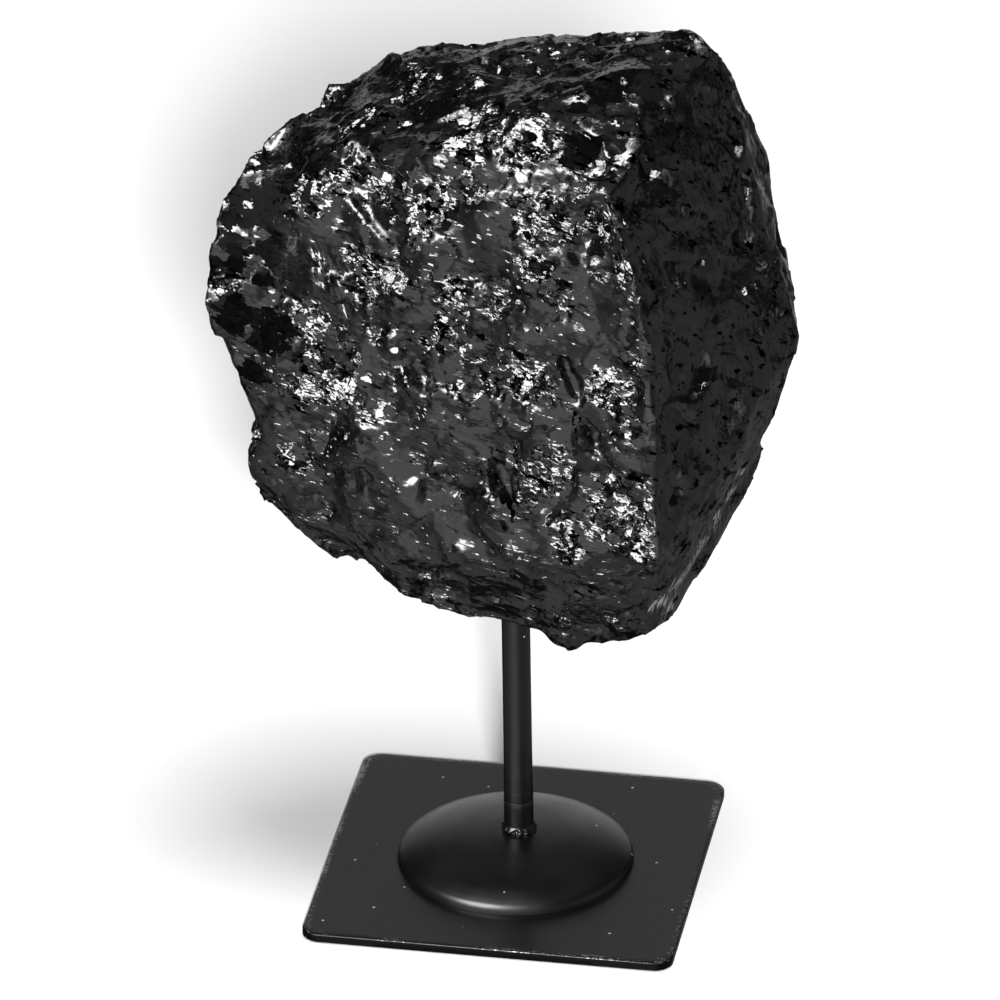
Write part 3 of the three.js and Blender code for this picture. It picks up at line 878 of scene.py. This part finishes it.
def paint_material(specks):
    material, tree, shader, where = new_material("satin_black_paint")
    dust = use_group(
        tree, specks, {"Place": where, "Specks per Metre": 330.0, "Share": 0.035, "Radius": 0.13}
    ).outputs["Speck"]
    chipped = clouds(tree, where, 1500.0, 3.0, 0.6).outputs["Fac"]
    patchy = clouds(tree, where, 45.0, 1.0, 0.5).outputs["Fac"]
    bare = ramp(tree, numbers(tree, "MULTIPLY_ADD", patchy, 0.7, chipped), 0.93, 1.0)
    on_rim = numbers(tree, "MULTIPLY", bare, read_field(tree, "rim"))
    # The plate's side turned black through Metallic over the black paint: painted shade.
    painted_side_shade = numbers(tree, "MULTIPLY", read_field(tree, "side"), SIDE_PAINTED_SHADE)
    pale = numbers(tree, "MAXIMUM", dust, on_rim)
    peel = clouds(tree, where, 1400.0, 2.0, 0.5).outputs["Fac"]
    bump = place(tree, "Bump", {"Height": peel, "Strength": 0.12, "Distance": 0.0001})
    cloudy = clouds(tree, where, 90.0, 5.0, 0.6).outputs["Fac"]
    sockets = {
        "Base Color": mixed_colour(tree, pale, PAINT_BLACK, BARE_STEEL),
        "Metallic": numbers(tree, "MAXIMUM", painted_side_shade, on_rim),
        "Roughness": ramp(tree, cloudy, 0.3, 0.7, 0.26, 0.37),
        "IOR": PAINT_IOR,
        "Normal": bump.outputs[0],
    }
    fill(tree, shader, sockets)
    return material


# ---- Pieces in place ----
def dress(piece, node, material):
    piece.data.materials.clear()
    piece.data.materials.append(material)
    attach(piece, "root")
    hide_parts(node)


stone_finish = stone_material(chip_group(), ripple_group(), crevice_shade_group())
paint_finish = paint_material(speck_group())
dress(make_lump(), "tourmaline", stone_finish)
dress(make_foot(), "base_plate", paint_finish)
dress(make_post(), "post", paint_finish)
dress(make_weld_ring(), "weld_bead", paint_finish)

# ---- Floor, light and camera ----
FLOOR_HALF = 60
FLOOR_Z = -0.0002
FLOOR_COLOUR = (0.9, 0.9, 0.9, 1)
BACKGROUND = 0.97


def make_floor():
    bm = bmesh.new()
    bmesh.ops.create_grid(bm, x_segments=1, y_segments=1, size=FLOOR_HALF)
    mesh = bpy.data.meshes.new("floor")
    bm.to_mesh(mesh)
    bm.free()
    floor = mesh_piece("floor", mesh)
    floor.location.z = FLOOR_Z
    material = bpy.data.materials.new("pale_floor")
    material.use_nodes = True
    shader = material.node_tree.nodes["Principled BSDF"]
    shader.inputs["Base Color"].default_value = FLOOR_COLOUR
    shader.inputs["Roughness"].default_value = 1.0
    shader.inputs["Specular IOR Level"].default_value = 0.0
    mesh.materials.append(material)
    floor.visible_glossy = False


def turned_to(start, aim):
    return (Vector(aim) - Vector(start)).to_track_quat("-Z", "Y").to_euler()


def area_light(name, start, aim, size, watts):
    """A soft sheet of light that the floor and the paint take up, but that no gloss mirrors."""
    data = bpy.data.lights.new(name, "AREA")
    data.energy = watts
    data.size = size
    light = bpy.data.objects.new(name, data)
    bpy.context.scene.collection.objects.link(light)
    light.location = start
    light.rotation_euler = turned_to(start, aim)
    light.visible_glossy = False
    light.visible_camera = False


# What the gloss reflects: direction, radius of the even middle and of the outer edge in degrees, brightness.
STUDIO_GLOWS = [
    ((-0.35, -0.65, 0.68), 16, 21, 18.0),  # key softbox, up in front on the left
    ((-0.35, -0.65, 0.68), 20, 38, 1.5),  # its light spread on the curtain around it
    ((-0.15, -0.97, 0.10), 28, 50, 0.95),  # pale screen in front
    ((0.0, -0.50, -0.87), 26, 60, 0.36),  # table in front and below
    ((0.95, -0.10, -0.10), 4, 50, 0.27),  # dim room on the right
    ((-0.82, -0.25, -0.45), 10, 44, 0.20),  # dim room on the left, low
    ((0.55, 0.60, -0.60), 3, 40, 0.16),  # dim room behind on the right, low
    ((0.00, 0.20, 0.98), 12, 42, 0.24),  # dim ceiling
    ((-0.15, 0.98, 0.02), 8, 40, 0.74),  # pale wall behind
]
STUDIO_DIM = 0.018


def make_world():
    world = bpy.data.worlds.new("studio")
    bpy.context.scene.world = world
    world.use_nodes = True
    tree = world.node_tree
    direction = place(tree, "TexCoord", {}).outputs["Generated"]
    total = STUDIO_DIM
    for towards, inner, outer, brightness in STUDIO_GLOWS:
        aim = place(
            tree, "VectorMath", {0: direction, 1: Vector(towards).normalized()}, operation="DOT_PRODUCT"
        )
        edge = math.cos(math.radians(outer))
        middle = math.cos(math.radians(inner))
        glow = ramp(tree, aim.outputs["Value"], edge, middle, to_high=brightness, kind="SMOOTHSTEP")
        total = numbers(tree, "ADD", glow, total)
    seen = place(tree, "LightPath", {}).outputs["Is Camera Ray"]
    strength = place(tree, "Mix", {"Factor": seen, 2: total, 3: BACKGROUND}, data_type="FLOAT")
    fill(tree, tree.nodes["Background"], {"Color": (1, 1, 1, 1), "Strength": strength.outputs[0]})
    world.cycles_visibility.diffuse = False


def make_camera():
    data = bpy.data.cameras.new("camera")
    data.lens = CAMERA_LENS
    data.sensor_width = CAMERA_SENSOR
    data.clip_end = CAMERA_REACH
    camera = bpy.data.objects.new("camera", data)
    bpy.context.scene.collection.objects.link(camera)
    camera.location = CAMERA_PLACE
    camera.rotation_euler = turned_to(CAMERA_PLACE, CAMERA_TARGET)
    bpy.context.scene.camera = camera


make_floor()
make_world()
area_light("top_sheet", (0.5, -0.4, 4.0), (0, 0.2, 0), 1.6, 130)
area_light("front_sheet", (1.15, -5.25, 2.68), (0, 0, 0.1), 0.46, 470)
make_camera()
bpy.context.scene.view_settings.view_transform = "Standard"
bpy.context.scene.view_settings.look = "None"
